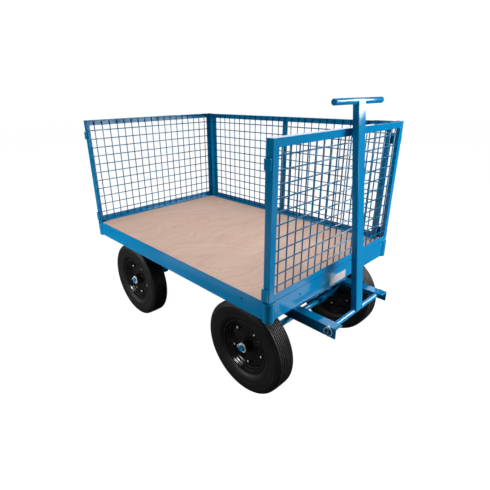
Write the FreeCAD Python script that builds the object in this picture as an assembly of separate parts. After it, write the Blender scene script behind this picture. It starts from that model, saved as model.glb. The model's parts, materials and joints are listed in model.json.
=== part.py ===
import FreeCAD, Part
import math
import os

# Turntable platform truck with lift-out mesh panels.
# Modelled about the middle of the deck: X along the deck towards the drawbar, Y across it, Z up from
# the floor. Every solid is shifted along X on export, so that X = 0 is the middle of the whole truck.

V = FreeCAD.Vector
X_AXIS, Y_AXIS, Z_AXIS = V(1, 0, 0), V(0, 1, 0), V(0, 0, 1)

# ---- driving dimensions, in millimetres ----

# deck frame
deck_length = 1200.0            # over the corner sockets
deck_width = 800.0              # over the corner sockets
deck_height = 472.0             # floor to the top of the frame and board
frame_depth = 68.0              # height of the edge channels
frame_sheet = 3.0               # wall of the edge channels
shelf_width = 22.0              # ledge that carries the board
foot_width = 32.0               # bottom flange of the edge channels
board_thickness = 15.0
board_clearance = 0.5           # board to the frame edge and the sockets
board_corner_gap = 4.0          # socket to where the corner cut leaves the long edge
face_hole_radius = 3.5          # fixing holes in the frame faces
face_hole_drop = 26.0           # below the top of the frame
side_hole_reach = 470.0         # from mid-deck, in the long faces
end_hole_reach = 230.0          # from the centreline, in the end faces

# corner sockets
socket_diameter = 40.0
socket_wall = 2.0
socket_floor = 4.0              # stop welded in the bottom of the tube
socket_lip = 3.0                # how far the tube reaches below the frame
weld_gap = 0.2                  # coped ends against a round tube

# bearers under the board
bearer_width = 30.0
bearer_sheet = 3.0
bearer_spread = 100.0           # each side of an axle's centre line

# panels
angle_leg = 25.0
angle_thickness = 3.0
panel_height = 502.5
end_panel_gap = 1.5             # under the bottom rail of an end panel
seat_gap = 0.3                  # between a lift-out piece and what it stands on
side_panel_gap = 39.5           # each end of the side panel to the outer face of an end panel
stiffener_width = 32.0
mesh_pitch = 40.64
mesh_rows = 11
end_columns = 18
side_columns = 25
wire_diameter = 4.0
wire_layer_gap = 0.02           # between the two layers of wire
wire_end_gap = 2.0              # wire ends to the flanges of the frame

# keepers and hooks that tie the side panel to the end panels
keeper_plate = 2.5
keeper_standoff = 4.6
keeper_width = 25.0
keeper_inset = 2.0              # in from the corner of the panel
keeper_spacer = 10.0
upper_keeper_height = 33.0
upper_keeper_drop = 53.0        # below the top of the panel
lower_keeper_height = 43.0
lower_keeper_rise = 5.5         # above the bottom of the panel
hook_plate = 4.0
hook_play = 5.5                 # end of the tongue to the spacer of its keeper
hook_overlap = 20.0             # tongue lapped on the side panel's own leg
hook_margin = 5.0               # tongue above and below its keeper
hook_lead = 8.0                 # chamfer at the lower corners of the tongue

# wheels and axles
wheel_diameter = 380.0
tyre_width = 88.0
tread_width = 66.0
shoulder_drop = 13.0            # tread surface down to the flat of the side wall
bead_rise = 24.0                # rim lip up to the flat of the side wall
rim_diameter = 226.0            # over the rolled lip
rim_width = 62.0                # over the rolled lips
rim_lip = 9.0                   # radial width of the lip
rim_lip_rise = 2.0              # lip stands out past the edge of the barrel
disc_diameter = 172.0           # flat middle of the rim
disc_thickness = 6.0
hub_diameter = 50.0
hub_length = 68.0
hub_end_play = 0.3
bolt_circle = 150.0
bolts_per_wheel = 5
bolt_across_flats = 13.0
bolt_head = 6.5
first_bolt_turn = -30.0         # degrees round the axle from the top
wheel_track = 614.0             # between the middles of the tyres
rear_axle_reach = 368.0         # mid-deck to the rear axle
axle_diameter = 25.0
axle_collar_diameter = 38.0     # stop ring welded on the axle inside each hub
axle_collar_width = 8.0
axle_end = 352.0                # centreline to the end of the axle
running_clearance = 0.05        # radial, of every shaft in its bore
washer_diameter = 39.0
washer_thickness = 3.0
split_pin_diameter = 4.0
split_pin_eye_reach = 24.0      # axle's middle to the eye
split_pin_tail_reach = 18.0     # axle's middle to the other end
split_pin_clearance = 0.1

# folded flat bars that the axles hang in
hanger_thickness = 5.0
hanger_width = 35.0
hanger_tab = 36.0               # flat end welded under the arms or the bearers
hanger_bends = 6                # folds that wrap each bar round its axle
front_hanger_spread = 116.0     # axle to where a leg meets its flat end
rear_hanger_spread = 80.0

# turntable
turntable_gap = 2.5             # front channel to the turntable plate
turntable_plate = 268.0
turntable_plate_thickness = 6.0
ring_outer_diameter = 260.0
ring_inner_diameter = 216.0
ring_thickness = 14.0
ring_running_gap = 0.3
bogie_channel_height = 27.0
bogie_channel_width = 30.0
bogie_channel_sheet = 3.0
kingpin_diameter = 20.0
kingpin_across_flats = 30.0
kingpin_head = 12.5
kingpin_nut = 16.0
kingpin_thread_end = 5.0        # beyond the nut

# drawbar arms and tow handle
arm_leg = 40.0
arm_thickness = 4.0
arm_outer = 186.5               # centreline to the outer face of an arm
arm_tail = 8.0                  # arms run on behind the hangers
pivot_lead = 97.5               # front panel to the handle's pivot
arm_tip = 26.6                  # pivot to the tips of the arms
pivot_rod_gap = 0.3             # rod to the underside of the arms' flanges
pivot_rod_diameter = 12.0
pivot_rod_head = 4.0
pivot_rod_head_diameter = 20.0
pivot_rod_tail = 9.5            # past the outer face of the near arm
linch_pin_diameter = 4.0
linch_pin_inset = 4.5           # from the end of the rod
linch_pin_length = 30.0
linch_ring_diameter = 34.0
cross_tube_diameter = 19.0
cross_tube_side_gap = 1.5
post_width = 46.0
post_depth = 22.5
post_wall = 2.5
handle_lean = 6.4               # degrees back from upright, at rest on its stop
handle_length = 734.0           # pivot to the middle of the grip bar
grip_diameter = 20.0
grip_length = 293.0

# flats that stand for a full turn where the same round piece comes many times over
wheel_flat_count = 24
tube_flat_count = 16
wire_flat_count = 8

# label
label_length = 110.0
label_height = 34.0
label_thickness = 0.8
label_drop = 31.5               # below the top of the frame
label_centre = 10.0             # across, from the centreline

# ---- places that follow from the dimensions ----

socket_x = (deck_length - socket_diameter) / 2
socket_y = (deck_width - socket_diameter) / 2
socket_bore = socket_diameter / 2 - socket_wall
face_x = socket_x + angle_leg / 2           # outer face of the end channels and end panels
face_y = socket_y + angle_leg / 2           # outer face of the side channels and side panel
frame_bottom = deck_height - frame_depth
board_bottom = deck_height - board_thickness
foot_top = frame_bottom + frame_sheet
socket_bottom = frame_bottom - socket_lip
post_bottom = socket_bottom + socket_floor + seat_gap

end_panel_bottom = deck_height + end_panel_gap
end_panel_top = end_panel_bottom + panel_height
side_panel_half = face_x - side_panel_gap
side_panel_bottom = deck_height + seat_gap
side_panel_top = side_panel_bottom + panel_height

front_axle_reach = face_x - foot_width - turntable_gap - turntable_plate / 2
pivot_reach = face_x + pivot_lead
drawbar_reach = pivot_reach + arm_tip

axle_height = wheel_diameter / 2
axle_radius = axle_diameter / 2
wheel_y = wheel_track / 2
hub_inner = wheel_y - hub_length / 2
axle_shoulder = hub_inner - hub_end_play
washer_inner = wheel_y + hub_length / 2 + hub_end_play

turntable_top = foot_top
upper_ring_top = turntable_top - turntable_plate_thickness
lower_ring_top = upper_ring_top - ring_thickness - ring_running_gap
bogie_plate_top = lower_ring_top - ring_thickness
bogie_channel_top = bogie_plate_top - turntable_plate_thickness
arm_top = bogie_channel_top - bogie_channel_height
arm_underside = arm_top - arm_thickness
pivot_height = arm_underside - pivot_rod_gap - pivot_rod_diameter / 2
hanger_outer = arm_outer - arm_thickness - weld_gap
kingpin_radius = kingpin_diameter / 2

truck_centre = (drawbar_reach - deck_length / 2) / 2


# ---- shapes ----

def block(x0, x1, y0, y1, z0, z1):
    """A box between two corners, given in any order."""
    low = V(min(x0, x1), min(y0, y1), min(z0, z1))
    return Part.makeBox(abs(x1 - x0), abs(y1 - y0), abs(z1 - z0), low)


def prism(points, sweep):
    """A closed flat outline pushed along a vector."""
    return Part.Face(Part.makePolygon(points + points[:1])).extrude(sweep)


def along_x(outline, x0, x1):
    """An outline of (y, z) points between two X stations."""
    return prism([V(x0, y, z) for y, z in outline], V(x1 - x0, 0, 0))


def along_y(outline, y0, y1):
    """An outline of (x, z) points between two Y stations."""
    return prism([V(x, y0, z) for x, z in outline], V(0, y1 - y0, 0))


def along_z(outline, z0, z1):
    """An outline of (x, y) points between two Z stations."""
    return prism([V(x, y, z0) for x, y in outline], V(0, 0, z1 - z0))


def rod(radius, start, end):
    """A round bar from one point to another."""
    return Part.makeCylinder(radius, (end - start).Length, start, end - start)


def flats(radius, sides, a=0.0, b=0.0):
    """Corners (a, b) of a regular outline whose flats lie at this radius, one of them facing +a."""
    corner = radius / math.cos(math.pi / sides)
    turns = [(side + 0.5) * 2 * math.pi / sides for side in range(sides)]
    return [(a + corner * math.cos(turn), b + corner * math.sin(turn)) for turn in turns]


def turned(outline, sides):
    """A ring about the Y axis from a closed outline of (radius, y) points, in flats."""
    loops = [[V(x, y, z) for x, z in flats(radius, sides)] for radius, y in outline]
    faces = []
    for loop, following in zip(loops, loops[1:] + loops[:1]):
        for side in range(sides):
            corners = [loop[side - 1], loop[side], following[side], following[side - 1]]
            faces.append(Part.Face(Part.makePolygon(corners + corners[:1])))
    ring_solid = Part.makeSolid(Part.makeShell(faces))
    return ring_solid if ring_solid.Volume > 0 else ring_solid.reversed()


def moved(shape, x=0.0, y=0.0, z=0.0):
    copy = shape.copy()
    copy.translate(V(x, y, z))
    return copy


def spun(shape, degrees, axis=Z_AXIS, centre=V(0, 0, 0)):
    copy = shape.copy()
    copy.rotate(centre, axis, degrees)
    return copy


def both_sides(shape):
    """The shape and its mirror image across the centreline."""
    return [shape, shape.mirror(V(0, 0, 0), Y_AXIS)]


def cut_all(shape, tools):
    for tool in tools:
        shape = shape.cut(tool)
    return shape


# ---- deck frame ----

def at_corners(make):
    return [make(sx * socket_x, sy * socket_y) for sx in (-1, 1) for sy in (-1, 1)]


def corner_socket(x, y):
    """A tube with a stop welded in its bottom, open at the top for a panel's post."""
    tube = along_z(flats(socket_diameter / 2, tube_flat_count, x, y), socket_bottom, deck_height)
    bore = along_z(flats(socket_bore, tube_flat_count, x, y), socket_bottom + socket_floor, deck_height)
    return tube.cut(bore)


def coping(x, y):
    """What a frame member loses to the tube that it is welded to."""
    return along_z(flats(socket_diameter / 2 + weld_gap, tube_flat_count, x, y), frame_bottom, deck_height)


def edge_channel(face):
    """Outline (across, up) of an edge channel whose outer face is at this distance from the middle."""
    web = face - frame_sheet
    shelf, foot = face - shelf_width, face - foot_width
    shelf_under = board_bottom - frame_sheet
    return [(face, frame_bottom), (foot, frame_bottom), (foot, foot_top), (web, foot_top),
            (web, shelf_under), (shelf, shelf_under), (shelf, board_bottom), (web, board_bottom),
            (web, deck_height), (face, deck_height)]


def side_channel():
    """The +Y side channel. Its shelf and foot stop short of the tubes, its web is coped to them."""
    channel = along_x(edge_channel(face_y), -socket_x, socket_x)
    stop = socket_x - socket_diameter / 2
    web = face_y - frame_sheet
    reliefs = [block(s * stop, s * socket_x, 0, web, frame_bottom, deck_height) for s in (-1, 1)]
    height = deck_height - face_hole_drop
    holes = [along_y(flats(face_hole_radius, wire_flat_count, s * side_hole_reach, height), web, face_y)
             for s in (-1, 1)]
    return cut_all(channel, reliefs + holes + at_corners(coping))


def end_channel():
    """The +X end channel, made the same way."""
    channel = along_y(edge_channel(face_x), -socket_y, socket_y)
    stop = socket_y - socket_diameter / 2
    web = face_x - frame_sheet
    reliefs = [block(0, web, s * stop, s * socket_y, frame_bottom, deck_height) for s in (-1, 1)]
    height = deck_height - face_hole_drop
    holes = [along_x(flats(face_hole_radius, wire_flat_count, s * end_hole_reach, height), web, face_x)
             for s in (-1, 1)]
    return cut_all(channel, reliefs + holes + at_corners(coping))


def bearer(x, opening):
    """A channel across the frame under the board, open towards +X (1) or -X (-1)."""
    half = face_y - shelf_width
    back = x - opening * bearer_width / 2
    front = x + opening * bearer_width / 2
    inner = back + opening * bearer_sheet
    outline = [(back, foot_top), (front, foot_top), (front, foot_top + bearer_sheet),
               (inner, foot_top + bearer_sheet), (inner, board_bottom - bearer_sheet),
               (front, board_bottom - bearer_sheet), (front, board_bottom), (back, board_bottom)]
    return along_y(outline, -half, half)


def bearers():
    """A pair over each axle, back to back, and one between the axles."""
    axles = (-rear_axle_reach, front_axle_reach)
    pairs = [bearer(axle + s * bearer_spread, s) for axle in axles for s in (-1, 1)]
    return pairs + [bearer((front_axle_reach - rear_axle_reach) / 2, 1)]


def deck_board():
    """Plywood, dropped inside the frame edge, with each corner cut straight past its socket."""
    half_x = face_x - frame_sheet - board_clearance
    half_y = face_y - frame_sheet - board_clearance
    clear = socket_diameter / 2 + board_clearance
    start = socket_x - socket_diameter / 2 - board_corner_gap
    along, across = socket_x - start, half_y - socket_y
    slope = math.asin(clear / math.hypot(along, across)) + math.atan2(across, along)
    end = half_y - (half_x - start) * math.tan(slope)
    outline = [(half_x, -end), (half_x, end), (start, half_y), (-start, half_y),
               (-half_x, end), (-half_x, -end), (-start, -half_y), (start, -half_y)]
    return along_z(outline, board_bottom, deck_height)


def label_plate():
    top = deck_height - label_drop
    return block(face_x, face_x + label_thickness, label_centre - label_length / 2,
                 label_centre + label_length / 2, top - label_height, top)


# ---- axles and the folded bars that carry them ----

def folded(points, thickness):
    """Outline of a strip folded along (a, b) points, with its thickness on the left of their run."""
    normals = []
    for (a0, b0), (a1, b1) in zip(points, points[1:]):
        length = math.hypot(a1 - a0, b1 - b0)
        normals.append(((b0 - b1) / length, (a1 - a0) / length))
    inner = []
    for (a, b), before, after in zip(points, normals[:1] + normals, normals + normals[-1:]):
        offset = thickness / (1 + before[0] * after[0] + before[1] * after[1])
        inner.append((a + (before[0] + after[0]) * offset, b + (before[1] + after[1]) * offset))
    return points + inner[::-1]


def axle_hanger(x, spread, top):
    """The +Y bar: down from its flat end, round under the axle and up again to the other end."""
    reach = axle_radius + hanger_thickness
    under = top - hanger_thickness
    rise = under - axle_height
    lean = math.acos(reach / math.hypot(spread, rise)) - math.atan2(rise, spread)
    step = (math.pi - 2 * lean) / hanger_bends
    corner = reach / math.cos(step / 2)
    turns = [math.pi + lean + (bend + 0.5) * step for bend in range(hanger_bends)]
    wrap = [(x + corner * math.cos(turn), axle_height + corner * math.sin(turn)) for turn in turns]
    back = [(x - spread - hanger_tab, under), (x - spread, under)]
    front = [(x + spread, under), (x + spread + hanger_tab, under)]
    return along_y(folded(back + wrap + front, hanger_thickness), hanger_outer - hanger_width, hanger_outer)


def split_pin_y():
    return washer_inner + washer_thickness + split_pin_clearance + split_pin_diameter / 2


def axle_ring(x, bore, diameter, inner, width):
    """A ring about the +Y end of an axle."""
    outline = [(bore, inner), (diameter / 2, inner), (diameter / 2, inner + width), (bore, inner + width)]
    return moved(turned(outline, tube_flat_count), x, 0, axle_height)


def axle_beam(x):
    """A round bar, cross-drilled for the split pins, and the stop rings welded on it inside the hubs."""
    beam = rod(axle_radius, V(x, -axle_end, axle_height), V(x, axle_end, axle_height))
    hole = split_pin_diameter / 2 + split_pin_clearance
    for side in (-1, 1):
        outline = flats(hole, wire_flat_count, side * split_pin_y(), axle_height)
        beam = beam.cut(along_x(outline, x - axle_diameter, x + axle_diameter))
    collar = axle_ring(x, axle_radius, axle_collar_diameter, axle_shoulder - axle_collar_width,
                       axle_collar_width)
    return [beam] + both_sides(collar)


def axle_washer(x):
    return axle_ring(x, axle_radius + running_clearance, washer_diameter, washer_inner, washer_thickness)


def split_pin(x):
    """The closed pin, with its eye behind the axle."""
    y, eye_x = split_pin_y(), x - split_pin_eye_reach
    radius = split_pin_diameter / 2
    pin = along_x(flats(radius, wire_flat_count, y, axle_height), eye_x, x + split_pin_tail_reach)
    eye_outline = flats(split_pin_diameter, wire_flat_count, eye_x, y)
    eye = along_z(eye_outline, axle_height - radius, axle_height + radius)
    return pin.fuse(eye)


# ---- wheels, about their own centre, with the outer side towards +Y ----

def mirrored_outline(half_outline):
    """Closes an outline of (radius, y) points with its own reflection in y = 0."""
    return half_outline + [(r, -y) for r, y in reversed(half_outline)]


def tyre():
    outer = wheel_diameter / 2
    bead = rim_diameter / 2 + running_clearance
    half_outline = [(bead, rim_width / 2), (bead + bead_rise, tyre_width / 2),
                    (outer - shoulder_drop, tyre_width / 2), (outer, tread_width / 2)]
    return turned(mirrored_outline(half_outline), wheel_flat_count)


def rim():
    """Two pressed halves bolted back to back round a welded hub, with the bolt heads on both sides."""
    lip = rim_diameter / 2
    barrel = lip - rim_lip
    barrel_edge = rim_width / 2 - rim_lip_rise
    bore = axle_radius + running_clearance
    half_outline = [(bore, hub_length / 2), (hub_diameter / 2, hub_length / 2),
                    (hub_diameter / 2, disc_thickness / 2), (disc_diameter / 2, disc_thickness / 2),
                    (barrel, barrel_edge), (lip, rim_width / 2)]
    body = turned(mirrored_outline(half_outline), wheel_flat_count)
    half_bolt = disc_thickness / 2 + bolt_head
    head = along_y(flats(bolt_across_flats / 2, 6, 0, bolt_circle / 2), -half_bolt, half_bolt)
    for index in range(bolts_per_wheel):
        body = body.fuse(spun(head, first_bolt_turn + index * 360 / bolts_per_wheel, Y_AXIS))
    return body


# ---- turntable and bogie ----

def ring(top):
    """A flat turntable ring about the kingpin."""
    outlines = [flats(diameter / 2, wheel_flat_count, front_axle_reach)
                for diameter in (ring_outer_diameter, ring_inner_diameter)]
    outer, inner = [along_z(outline, top - ring_thickness, top) for outline in outlines]
    return outer.cut(inner)


def kingpin_bore(radius):
    return Part.makeCylinder(radius, deck_height, V(front_axle_reach, 0, 0))


def turntable_square(top, radius):
    """A square plate with the kingpin's hole in it."""
    half = turntable_plate / 2
    plate = block(front_axle_reach - half, front_axle_reach + half, -half, half,
                  top - turntable_plate_thickness, top)
    return plate.cut(kingpin_bore(radius))


def kingpin():
    """A hexagon-headed bolt, down through both plates."""
    nut_bottom = bogie_channel_top - seat_gap - kingpin_nut
    shank = Part.makeCylinder(kingpin_radius, turntable_top - nut_bottom + kingpin_thread_end,
                              V(front_axle_reach, 0, nut_bottom - kingpin_thread_end))
    head = along_z(flats(kingpin_across_flats / 2, 6, front_axle_reach), turntable_top,
                   turntable_top + kingpin_head)
    return shank.fuse(head)


def kingpin_nut_solid():
    top = bogie_channel_top - seat_gap
    nut = along_z(flats(kingpin_across_flats / 2, 6, front_axle_reach), top - kingpin_nut, top)
    thread = flats(kingpin_radius + running_clearance, tube_flat_count, front_axle_reach)
    return nut.cut(along_z(thread, top - kingpin_nut, top))


def bogie_channel(side):
    """A channel across the drawbar arms under the turntable, open outwards."""
    x = front_axle_reach + side * bearer_spread
    back = x - side * bogie_channel_width / 2
    front = x + side * bogie_channel_width / 2
    inner = back + side * bogie_channel_sheet
    outline = [(back, arm_top), (front, arm_top), (front, arm_top + bogie_channel_sheet),
               (inner, arm_top + bogie_channel_sheet), (inner, bogie_channel_top - bogie_channel_sheet),
               (front, bogie_channel_top - bogie_channel_sheet), (front, bogie_channel_top),
               (back, bogie_channel_top)]
    return along_y(outline, -arm_outer, arm_outer)


def drawbar_arm():
    """The +Y arm: an angle with its web outside and its flange on top, bored for the pivot rod."""
    web, edge = arm_outer - arm_thickness, arm_outer - arm_leg
    outline = [(arm_outer, arm_top), (edge, arm_top), (edge, arm_top - arm_thickness),
               (web, arm_top - arm_thickness), (web, arm_top - arm_leg), (arm_outer, arm_top - arm_leg)]
    tail = front_axle_reach - front_hanger_spread - hanger_tab - arm_tail
    arm = along_x(outline, tail, drawbar_reach)
    hole = pivot_rod_diameter / 2 + running_clearance
    return arm.cut(rod(hole, V(pivot_reach, web, pivot_height), V(pivot_reach, arm_outer, pivot_height)))


def pivot_rod():
    """The handle's hinge pin: a head at the +Y arm, and a tail past the -Y arm for the linch pin."""
    tail = -arm_outer - pivot_rod_tail
    shank = rod(pivot_rod_diameter / 2, V(pivot_reach, tail, pivot_height),
                V(pivot_reach, arm_outer, pivot_height))
    head = along_y(flats(pivot_rod_head_diameter / 2, tube_flat_count, pivot_reach, pivot_height),
                   arm_outer, arm_outer + pivot_rod_head)
    hole = flats(linch_pin_diameter / 2 + running_clearance, wire_flat_count,
                 pivot_reach, tail + linch_pin_inset)
    return shank.fuse(head).cut(along_z(hole, pivot_height - pivot_rod_diameter,
                                        pivot_height + pivot_rod_diameter))


def linch_pin():
    """A pin through the rod's tail, with a sprung ring of square wire that snaps under the rod."""
    y = -arm_outer - pivot_rod_tail + linch_pin_inset
    half_length, half_wire = linch_pin_length / 2, linch_pin_diameter / 4
    pin = along_z(flats(linch_pin_diameter / 2, wire_flat_count, pivot_reach, y),
                  pivot_height - half_length, pivot_height + half_length)
    outer = linch_ring_diameter / 2
    inner = outer - 2 * half_wire
    hoop = turned([(inner, -half_wire), (outer, -half_wire), (outer, half_wire), (inner, half_wire)],
                  tube_flat_count)
    return pin.fuse(moved(hoop, pivot_reach, y, pivot_height))


# ---- tow handle, upright about the pivot, then leaned back to its stop ----

def leaned(shape):
    return moved(spun(shape, -handle_lean, Y_AXIS), pivot_reach, 0, pivot_height)


def cross_tube():
    half = arm_outer - arm_leg - cross_tube_side_gap
    ends = V(0, -half, 0), V(0, half, 0)
    return leaned(rod(cross_tube_diameter / 2, *ends).cut(
        rod(pivot_rod_diameter / 2 + running_clearance, *ends)))


def handle_post():
    """A box section, saddled on the cross tube below and under the grip bar above."""
    half_depth, half_width = post_depth / 2, post_width / 2
    post = block(-half_depth, half_depth, -half_width, half_width, 0, handle_length)
    post = post.cut(block(post_wall - half_depth, half_depth - post_wall, post_wall - half_width,
                          half_width - post_wall, 0, handle_length))
    for radius, height in ((cross_tube_diameter / 2, 0), (grip_diameter / 2, handle_length)):
        post = post.cut(rod(radius, V(0, -post_width, height), V(0, post_width, height)))
    return leaned(post)


def grip_bar():
    half = grip_length / 2
    return leaned(rod(grip_diameter / 2, V(0, -half, handle_length), V(0, half, handle_length)))


# ---- panels, made facing +X with the outer face at X = 0 ----

def angle_section(outer, inner, thickness, edge, inward):
    """Outline (depth, across) of an angle: a leg in the outer face and a flange turned inwards."""
    return [(0, outer), (0, inner), (-thickness, inner), (-thickness, outer + inward * thickness),
            (-edge, outer + inward * thickness), (-edge, outer)]


def mitre(half_width, level, across, up):
    """The half of a corner square beyond its diagonal, seen from the side, as a cutting wedge."""
    margin = angle_thickness
    near, far = -margin, angle_leg + margin
    corners = [(near, near), (far, far)]
    corners.append((far, near) if across else (near, far))
    outline = [(half_width - a, level - up * b) for a, b in corners]
    return along_x(outline, -angle_leg, angle_thickness)


def panel_rail(half_width, edge_level, up):
    """A rail from corner to corner. up is 1 for the top rail and -1 for the bottom rail."""
    section = angle_section(edge_level, edge_level - up * angle_leg, angle_thickness, angle_leg, -up)
    rail = along_y(section, -half_width, half_width)
    for wedge in both_sides(mitre(half_width, edge_level, False, up)):
        rail = rail.cut(wedge)
    return rail


def panel_side(half_width, top, foot):
    """The +Y upright, mitred at the top, and down to its foot."""
    section = angle_section(half_width, half_width - angle_leg, angle_thickness, angle_leg, -1)
    return along_z(section, foot, top).cut(mitre(half_width, top, True, 1))


def end_panel_frame():
    """Top rail, bottom rail and two uprights that run on down as posts."""
    half = face_y
    rail_half = half - angle_leg
    section = angle_section(end_panel_bottom, end_panel_bottom + angle_leg, angle_thickness, angle_leg, 1)
    bottom = along_y(section, -rail_half, rail_half)
    posts = both_sides(panel_side(half, end_panel_top, post_bottom))
    return [panel_rail(half, end_panel_top, 1), bottom] + posts


def side_panel_frame():
    """Four rails mitred at all corners, and a flat stiffener in the middle."""
    half = side_panel_half
    upright = panel_side(half, side_panel_top, side_panel_bottom)
    upright = upright.cut(mitre(half, side_panel_bottom, True, -1))
    stiffener = block(-angle_thickness, 0, -stiffener_width / 2, stiffener_width / 2,
                      side_panel_bottom + angle_leg, side_panel_top - angle_leg)
    rails = [panel_rail(half, side_panel_top, 1), panel_rail(half, side_panel_bottom, -1)]
    return rails + both_sides(upright) + [stiffener]


def centred(count):
    return [(index - (count - 1) / 2) * mesh_pitch for index in range(count)]


def panel_mesh(columns, half_width, bottom, top):
    """Upright wires against the frame's legs, and level wires welded inside them."""
    radius = wire_diameter / 2
    upright_x = -angle_thickness - radius
    level_x = upright_x - wire_diameter - wire_layer_gap
    clear = angle_thickness + wire_end_gap
    middle = (bottom + top) / 2
    uprights = [along_z(flats(radius, wire_flat_count, upright_x, y), bottom + clear, top - clear)
                for y in centred(columns)]
    reach = half_width - clear
    levels = [along_y(flats(radius, wire_flat_count, level_x, middle + z), -reach, reach)
              for z in centred(mesh_rows)]
    return uprights + levels


def keeper_levels(bottom, top):
    """Bottom and top of the lower and the upper keeper."""
    low = bottom + lower_keeper_rise
    high = top - upper_keeper_drop
    return [(low, low + lower_keeper_height), (high - upper_keeper_height, high)]


def panel_keepers():
    """Plates stood off from the outer faces of the side legs, open above, below and inwards."""
    face = face_y
    plate_y = face + keeper_standoff
    pieces = []
    for low, high in keeper_levels(end_panel_bottom, end_panel_top):
        spacer = block(-keeper_inset, -keeper_inset - keeper_spacer, face, plate_y, low, high)
        plate = block(-keeper_inset, -keeper_inset - keeper_width, plate_y, plate_y + keeper_plate, low, high)
        pieces += both_sides(spacer) + both_sides(plate)
    return pieces


def side_panel_hooks():
    """Tongues on the ends of the side panel that drop through the keepers of both end panels."""
    start = side_panel_half - hook_overlap
    end = face_x - keeper_inset - keeper_spacer - hook_play
    y = face_y + seat_gap
    hooks = []
    for low, high in keeper_levels(end_panel_bottom, end_panel_top):
        foot, top = low - hook_margin, high + hook_margin
        outline = [(start, foot), (end - hook_lead, foot), (end, foot + hook_lead), (end, top), (start, top)]
        tongue = along_y(outline, y, y + hook_plate)
        hooks += [tongue, tongue.mirror(V(0, 0, 0), X_AXIS)]
    return hooks


def at_front(shape):
    return moved(shape, face_x)


def at_rear(shape):
    return moved(spun(shape, 180), -face_x)


def at_side(shape):
    return moved(spun(shape, 90), 0, face_y)


# ---- the nodes ----

def node(name, solids):
    """Writes one named piece, or a group of like pieces, as a STEP file."""
    group = solids if isinstance(solids, list) else [solids]
    shape = group[0] if len(group) == 1 else Part.makeCompound(group)
    moved(shape, -truck_centre).exportStep("parts/" + name + ".step")


def build_chassis():
    left, right = both_sides(side_channel())
    node("left_side_channel", left)
    node("right_side_channel", right)
    node("front_channel", end_channel())
    node("rear_channel", spun(end_channel(), 180))
    node("corner_sockets", at_corners(corner_socket))
    node("deck_bearers", bearers())
    node("deck_board", deck_board())
    node("label_plate", label_plate())
    node("turntable_top_plate", turntable_square(turntable_top, kingpin_radius + running_clearance))
    node("turntable_upper_ring", ring(upper_ring_top))
    node("kingpin", kingpin())
    node("kingpin_nut", kingpin_nut_solid())
    node("rear_axle_hangers", both_sides(axle_hanger(-rear_axle_reach, rear_hanger_spread, foot_top)))


def build_axle(end, x):
    node(end + "_axle_beam", axle_beam(x))
    node(end + "_axle_washers", both_sides(axle_washer(x)))
    node(end + "_split_pins", both_sides(split_pin(x)))


def build_bogie():
    node("turntable_lower_ring", ring(lower_ring_top))
    node("bogie_plate", turntable_square(bogie_plate_top, kingpin_radius + running_clearance))
    node("bogie_channels", [bogie_channel(-1), bogie_channel(1)])
    left, right = both_sides(drawbar_arm())
    node("left_drawbar_arm", left)
    node("right_drawbar_arm", right)
    node("front_axle_hangers", both_sides(axle_hanger(front_axle_reach, front_hanger_spread,
                                                     arm_underside)))
    node("pivot_rod", pivot_rod())
    node("linch_pin", linch_pin())


def build_handle():
    node("handle_cross_tube", cross_tube())
    node("handle_post", handle_post())
    node("grip_bar", grip_bar())


def build_wheels():
    rubber, metal = tyre(), rim()
    for end, x in (("front", front_axle_reach), ("rear", -rear_axle_reach)):
        for side, turn, y in (("left", 0, wheel_y), ("right", 180, -wheel_y)):
            node(end + "_" + side + "_tyre", moved(spun(rubber, turn), x, y, axle_height))
            node(end + "_" + side + "_rim", moved(spun(metal, turn), x, y, axle_height))


def build_panels():
    end_mesh = panel_mesh(end_columns, face_y, end_panel_bottom, end_panel_top)
    for name, place in (("front", at_front), ("rear", at_rear)):
        node(name + "_panel_frame", [place(piece) for piece in end_panel_frame()])
        node(name + "_panel_mesh", [place(wire) for wire in end_mesh])
        node(name + "_panel_keepers", [place(piece) for piece in panel_keepers()])
    side_mesh = panel_mesh(side_columns, side_panel_half, side_panel_bottom, side_panel_top)
    node("side_panel_frame", [at_side(piece) for piece in side_panel_frame()])
    node("side_panel_mesh", [at_side(wire) for wire in side_mesh])
    node("side_panel_hooks", side_panel_hooks())


os.makedirs("parts", exist_ok=True)
build_chassis()
build_axle("rear", -rear_axle_reach)
build_axle("front", front_axle_reach)
build_bogie()
build_handle()
build_wheels()
build_panels()
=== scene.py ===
import json
import math
import random

import bmesh
import bpy
from mathutils import Matrix, Vector


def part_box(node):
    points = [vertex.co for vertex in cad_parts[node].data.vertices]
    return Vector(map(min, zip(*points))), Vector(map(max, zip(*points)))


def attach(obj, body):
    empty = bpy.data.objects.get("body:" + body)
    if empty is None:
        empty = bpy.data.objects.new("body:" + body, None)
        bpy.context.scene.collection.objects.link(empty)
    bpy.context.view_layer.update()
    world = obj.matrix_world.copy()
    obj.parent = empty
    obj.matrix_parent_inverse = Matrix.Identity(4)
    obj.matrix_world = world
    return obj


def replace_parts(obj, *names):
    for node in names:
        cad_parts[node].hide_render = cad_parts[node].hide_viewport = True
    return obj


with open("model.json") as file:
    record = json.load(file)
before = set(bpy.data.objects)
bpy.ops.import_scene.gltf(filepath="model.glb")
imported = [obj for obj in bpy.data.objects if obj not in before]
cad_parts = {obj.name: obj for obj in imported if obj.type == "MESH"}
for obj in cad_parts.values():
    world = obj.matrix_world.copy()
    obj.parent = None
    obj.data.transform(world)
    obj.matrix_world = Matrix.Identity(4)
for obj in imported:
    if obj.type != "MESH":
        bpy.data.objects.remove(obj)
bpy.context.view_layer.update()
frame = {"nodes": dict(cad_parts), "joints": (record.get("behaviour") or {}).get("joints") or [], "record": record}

# Looks for the turntable platform truck. Metres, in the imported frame: +X towards the drawbar, +Z up.

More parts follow.
